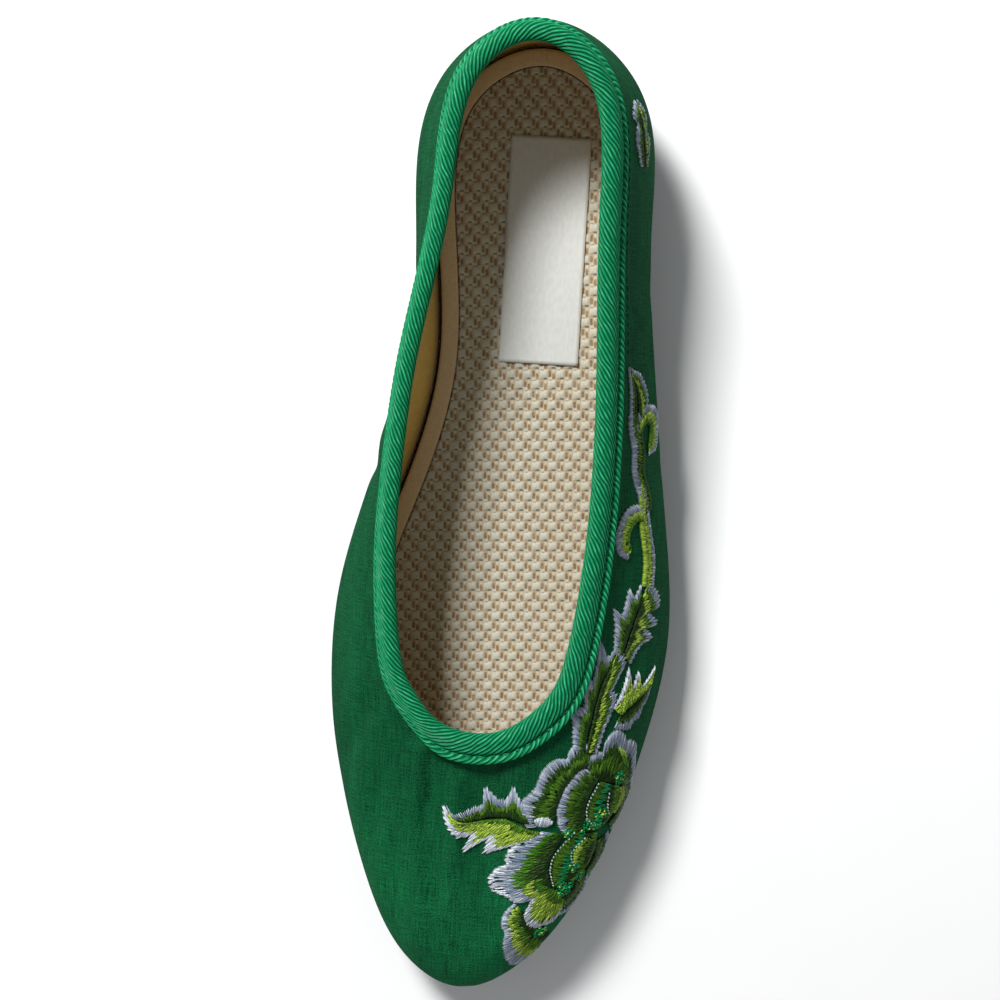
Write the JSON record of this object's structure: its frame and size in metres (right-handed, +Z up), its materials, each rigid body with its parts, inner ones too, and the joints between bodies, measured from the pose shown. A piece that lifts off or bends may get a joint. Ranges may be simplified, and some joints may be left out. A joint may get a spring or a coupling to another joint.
{
  "type": "embroidered flat shoe",
  "caption": "Women's left flat slip-on shoe of green silk with a rib-bound collar, peony embroidery, a woven footbed and a thin dark rubber sole.",
  "frame": {"origin": "bottom centre of the bounding box, on the ground under the waist of the shoe", "axes": "+Y towards the heel and -Y towards the toe, +X towards the outer side of the left foot, +Z up from the ground"},
  "size_m": [0.0864, 0.2494, 0.0629],
  "materials": {
    "silk": "fine slubbed silk with a soft sheen",
    "rib_tape": "satin, diagonal ribs",
    "woven_footbed": "coarse matt basket weave",
    "edge_tape": "matt cotton tape",
    "sole_rubber": "matt"
  },
  "bodies": {
    "root": {"upper": "silk", "collar_binding": "rib_tape", "insole": "woven_footbed", "insole_binding": "edge_tape", "outsole": "sole_rubber"}
  },
  "joints": []
}
